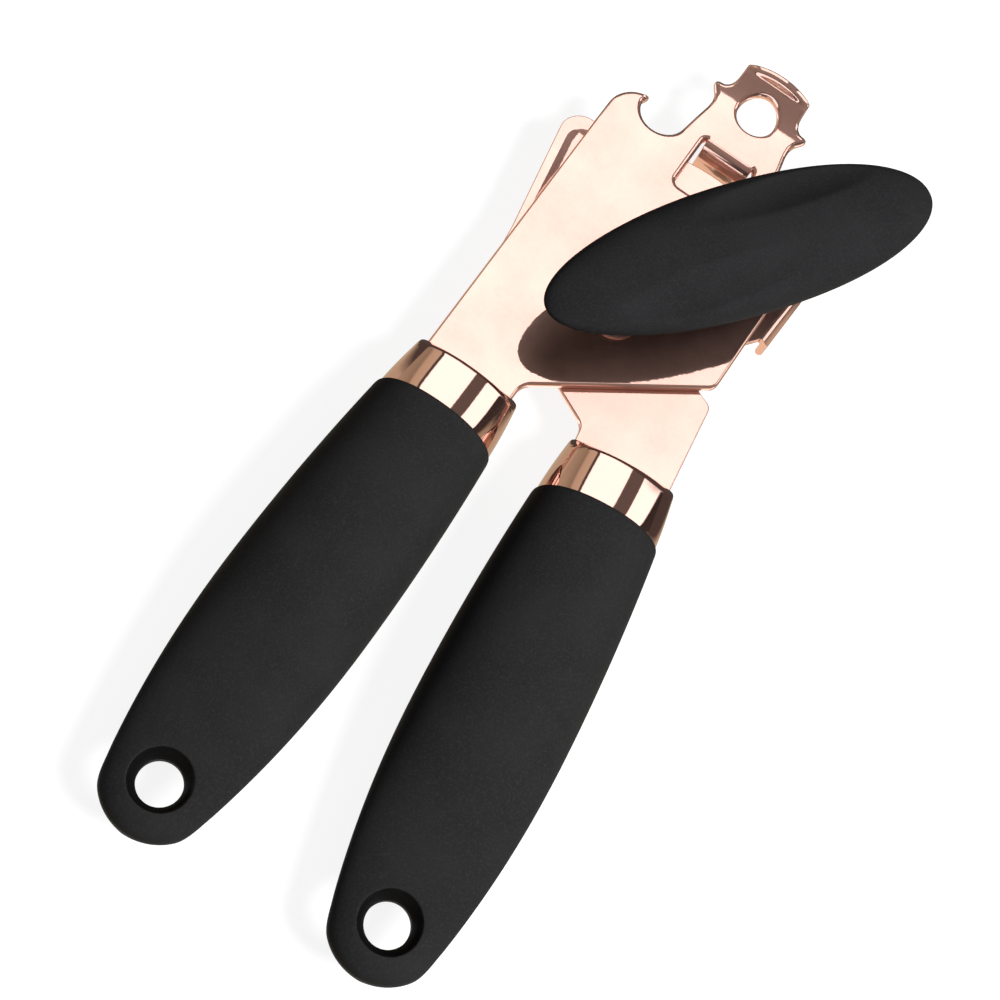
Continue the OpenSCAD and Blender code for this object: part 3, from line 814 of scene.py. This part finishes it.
neck_hole = circle(0, HOLE_Y, HOLE_R, 96)
neck_hole[:, 1] = [unrolled(y) for y in neck_hole[:, 1]]
window = arc(-5.0, 36.6, 1.6, 180, 270, 6) + arc(4.8, 36.6, 1.6, 270, 360, 6)
window += arc(5.2, WIN_END - 1.2, 1.2, 0, 90, 5) + arc(-5.4, WIN_END - 1.2, 1.2, 90, 180, 5)
upper_holes = [(neck_hole, hole_rim, hole_rim), (soften(window, 0.6, 1), window_rim, window_rim)]
upper_holes += [circle(0, 0, SEAT_R, 40), circle(*SHAFT, BEARING_R, 40)] + pin_holes(LEFT_X, LEFT_LEAN)
fine = np.concatenate([lattice(-14, 14, 55, 67.4, 0.55), lattice(-9, 9, 67.4, 71, 0.22)])
parts = [sheet(soften(upper_outline, 1.0), upper_holes, T, upper_shape, rim=outer_rim, extra=fine)]

# tongue bent down at the far side of the window
tongue = [(WIN_END, 0)] + arc(WIN_END, -2.4, 2.4, 90, 145, 12)[1:]
tongue += [(45.4, -4.6), (44.9, -6.9), (46.5, -7.2), (46.95, -5.0)]
tongue += arc(WIN_END, -2.6, 0.8, 145, 100, 5) + [(WIN_END, -1.75)]
tongue = soften(tongue, 5, 1)
TONGUE_X, TONGUE_W = 5.7, 11.6
parts.append(sheet(tongue, [], TONGUE_W, lambda x, y, d: np.stack([TONGUE_X - d, x, UP1 + y], 1), rim=0.2))
at_rivet = place(0, 0, 0)
upper = piece("upper_sheet", *joined(parts), plate_mat, "upper_handle", "rose_plate", at_rivet, sharp=35)
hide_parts("upper_plate")

# lower plate: flat with a shallow dish pressed into the finger, and a can guide folded down
GUIDE_X, GUIDE_Y, GUIDE_TURN = 29.2, 12.9, math.radians(9.5)
GUIDE_LEN = 18.8
lower_outline = [(8.6, TANG_END), (8.6, -36), (4.7, -32.5)]
lower_outline += arc(1.5, -26.4, 3, 0, 57.4, 6) + arc(-25.1, -2.4, 3, 237.4, 180, 6) + [(-28.1, 8)]
lower_outline += arc(-24.8, 35.9, 5, 177, 95, 10) + arc(0, 0, 43.2, 112, 52, 18)
lower_outline += [(31.3, 30.5), (32.3, 31.0), (GUIDE_X, GUIDE_Y), (27.0, 10.6), (22.6, 4.6), (22.6, -5.0)]
lower_outline += arc(24.3, -8.2, 2, 62, 0, 5) + [(26.5, -32.5), (22.6, -36), (22.6, TANG_END)]
# the shaft bearing travels in a curved slot round the rivet
SWING_R = math.hypot(*SHAFT)
SWING_A = math.degrees(math.atan2(SHAFT[1], SHAFT[0])) - OPEN_DEG
SLOT_HALF = 4.3
SLOT_OPEN, SLOT_SHUT = SWING_A - OPENING, SWING_A + CLOSING


def slot_end(a, a0, a1):
    t = math.radians(a)
    return arc(SWING_R * math.cos(t), SWING_R * math.sin(t), SLOT_HALF, a0, a1, 14)[1:-1]


slot = arc(0, 0, SWING_R + SLOT_HALF, SLOT_OPEN, SLOT_SHUT, 14)
slot += slot_end(SLOT_SHUT, SLOT_SHUT, SWING_A + 180 + CLOSING)
slot += arc(0, 0, SWING_R - SLOT_HALF, SLOT_SHUT, SLOT_OPEN, 14)
slot += slot_end(SLOT_OPEN, SWING_A - 180 - OPENING, SLOT_OPEN)
stud = Matrix.Rotation(-OPEN, 2) @ Vector((0.4, 21))
lower_holes = [circle(0, 0, SWIVEL_R, 40), circle(stud.x, stud.y, SEAT_R, 40), np.array(slot)]
lower_holes += pin_holes(RIGHT_X, 0)
DISH0, DISH1 = np.array((-23.9, 34.2)), np.array((-22.7, 8.0))
DISH_HALF, DISH_DEPTH = 3.76, 0.42


def dish(p):
    """Depth of the long dish pressed into the finger."""
    d = DISH1 - DISH0
    t = np.clip((p - DISH0) @ d / (d @ d), 0, 1)
    r = np.linalg.norm(p - DISH0 - t[:, None] * d, axis=1) / DISH_HALF
    return DISH_DEPTH * np.maximum(0, 1 - r * r)


def guide_rim(p):
    """Edges are rounded except where the folded guide carries on from the sheet."""
    x, y = p[:, 0] - GUIDE_X, p[:, 1] - GUIDE_Y
    along = x * math.sin(GUIDE_TURN) + y * math.cos(GUIDE_TURN)
    off = x * math.cos(GUIDE_TURN) - y * math.sin(GUIDE_TURN)
    return np.where((along > 0.3) & (along < 18.4) & (np.abs(off) < 0.4), 0.02, 0.24)


parts = [
    sheet(
        soften(lower_outline, 1.0),
        lower_holes,
        T,
        lambda x, y, d: np.stack([x, y, LO1 - d], 1),
        rim=guide_rim,
        extra=lattice(-29, -18, 3, 39, 0.42),
        dip=dish,
    )
]
fold = [(0, 0)] + arc(0, -2.3, 2.3, 90, 0, 12)[1:] + [(2.3, -6.2), (0.5, -6.2)]
fold += arc(0, -2.3, 0.5, 0, 90, 5) + [(0, -T)]
fold = soften(fold, 5, 1)
tilt = np.array(Matrix.Rotation(-GUIDE_TURN, 3, "Z"))


def guide_shape(x, y, d):
    """Place of a point of the fold's cross section at distance d from the guide's far end."""
    v = np.stack([x, 18.9 - d, LO1 + y], 1) @ tilt.T
    return v + np.array((GUIDE_X, GUIDE_Y, 0))


parts.append(sheet(fold, [], GUIDE_LEN, guide_shape, rim=0.25))
at_rivet = place(0, 0, 0, on_lower=True)
lower = piece("lower_sheet", *joined(parts), plate_mat, "lower_handle", "rose_plate", at_rivet, sharp=35)
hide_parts("lower_plate")

# ---------------------------------------------------------------- materials on the other CAD nodes
others = {
    plate_mat: ["pivot_rivet"],
    bearing_mat: ["shaft_bushing"],
    blade_mat: ["drive_wheel", "cutting_wheel"],
    core_mat: ["knob_core", "left_core", "right_core"],
    steel_mat: ["pivot_washer", "thrust_washer", "drive_shaft", "drive_retainer", "knob_wing"],
}
others[steel_mat] += ["cutter_stud", "cutter_spacer", "cutter_wave_washer"]
others[steel_mat] += [f"{side}_tang_pin_{row}" for side in ("left", "right") for row in ("front", "rear")]
for mat, nodes in others.items():
    for node in nodes:
        slots = frame["nodes"][node].data.materials
        slots.clear()
        slots.append(mat)

# ---------------------------------------------------------------- floor
fm, n, bsdf, co = new_material("pale_floor")
n.link(n.mix(noise(n, co, 3.0, 2), (0.13, 0.13, 0.131), (0.15, 0.15, 0.151)), bsdf.inputs["Base Color"])
bsdf.inputs["Roughness"].default_value = 0.8
bsdf.inputs["Specular IOR Level"].default_value = 0.1
bsdf.inputs["Emission Color"].default_value = (1, 1, 1, 1)
bsdf.inputs["Emission Strength"].default_value = 0.88
me = bpy.data.meshes.new("floor")
FLOOR = 3.0  # half its side, in metres
z = cad_box[0].z - 0.1 * MM  # just clear of the grips' lowest line
corners = [(x * FLOOR, y * FLOOR, z) for x, y in ((-1, -1), (1, -1), (1, 1), (-1, 1))]
me.from_pydata(corners, [], [(0, 1, 2, 3)])
me.materials.append(fm)
floor = bpy.data.objects.new("floor", me)
bpy.context.scene.collection.objects.link(floor)
floor.visible_glossy = False
floor.visible_diffuse = False

# ---------------------------------------------------------------- studio
world = bpy.data.worlds.new("studio")
bpy.context.scene.world = world
world.use_nodes = True
world.cycles_visibility.diffuse = False
t = world.node_tree
t.nodes.clear()
n = Nodes(t)
direction = n.add("TexCoord").outputs["Generated"]
sep = n.add("SeparateXYZ")
n.link(direction, sep.inputs[0])
X, Y, Z = sep.outputs
grey = lambda v: (v, v * 1.01, v * 1.01)
tan = lambda v: (v * 0.83, v * 0.71, v * 0.52)
dark = lambda v: (v * 0.83, v * 0.69, v * 0.63)
# beyond the object: pale and dark bands from left to right
bands = [
    (-1.0, tan(0.34)),
    (-0.90, tan(0.30)),
    (-0.78, tan(0.20)),
    (-0.74, tan(0.38)),
    (-0.62, tan(0.42)),
    (-0.60, dark(0.05)),
    (-0.56, dark(0.05)),
    (-0.545, grey(1.0)),
    (0.095, grey(1.0)),
    (0.11, dark(0.085)),
    (0.375, dark(0.085)),
    (0.39, grey(1.0)),
    (0.72, grey(1.0)),
    (0.735, dark(0.02)),
    (0.83, dark(0.03)),
    (0.86, tan(0.26)),
    (1.0, tan(0.36)),
]
far = n.ramp(X, bands)
# overhead and toward the viewer: dark, with a bright edge low on the near side
over = [(-1.0, grey(0.9)), (-0.80, grey(0.9)), (-0.74, dark(0.03)), (-0.62, dark(0.03))]
over = n.ramp(Y, over + [(-0.52, dark(0.13)), (1.0, dark(0.13))])
col = n.mix(n.span(Y, 0.30, 0.36), over, far)
col = n.mix(n.span(Y, 0.66, 0.70), col, dark(0.05))
# the table below the horizon
below = [(-1.0, tan(0.6)), (-0.45, tan(0.6)), (-0.40, tan(0.28)), (-0.30, tan(0.28))]
below += [(-0.25, grey(0.95)), (-0.03, grey(0.95)), (0.03, tan(0.36)), (0.48, tan(0.36))]
below = n.ramp(Y, below + [(0.54, dark(0.05)), (1.0, dark(0.05))])
col = n.mix(n.span(Z, 0.02, -0.04), col, below)
# these bands only light and mirror in the object; the backdrop itself is plain and pale
col = n.mix(n.add("LightPath").outputs["Is Camera Ray"], col, grey(0.6))
bg = n.add("Background", Strength=1.9)
n.link(col, bg.inputs["Color"])
out = n.add("OutputWorld")
n.link(bg.outputs[0], out.inputs["Surface"])


def area(name, at, size, watts):
    """Round soft light, aimed at the middle of the frame and not mirrored in the plates."""
    d = bpy.data.lights.new(name, "AREA")
    d.shape = "DISK"
    d.size = size
    d.energy = watts
    o = bpy.data.objects.new(name, d)
    bpy.context.scene.collection.objects.link(o)
    o.location = at
    o.rotation_euler = (-Vector(at)).to_track_quat("-Z", "Y").to_euler()
    o.visible_glossy = False


area("key", (0.62, -0.08, 0.78), 0.4, 27.0)
area("fill", (-0.15, 0.0, 1.2), 1.6, 5.0)

# ---------------------------------------------------------------- camera
cam = bpy.data.cameras.new("camera")
cam.lens = 72
cam.sensor_width = 36
cam.clip_start = 0.01
camera = bpy.data.objects.new("camera", cam)
bpy.context.scene.collection.objects.link(camera)
# solved from the photograph together with the outlines
EYE = Vector((14.128, -203.292, 364.556 + UP1))  # from the rivet, in mm
right = Vector((0.82363, 0.53132, 0.19831))
up = Vector((-0.56635, 0.75227, 0.33667))
back = right.cross(up)
m = Matrix((right, up, back)).transposed().to_4x4()
m.translation = pivot + EYE * MM
camera.matrix_world = m
bpy.context.scene.camera = camera
bpy.context.scene.view_settings.view_transform = "Standard"
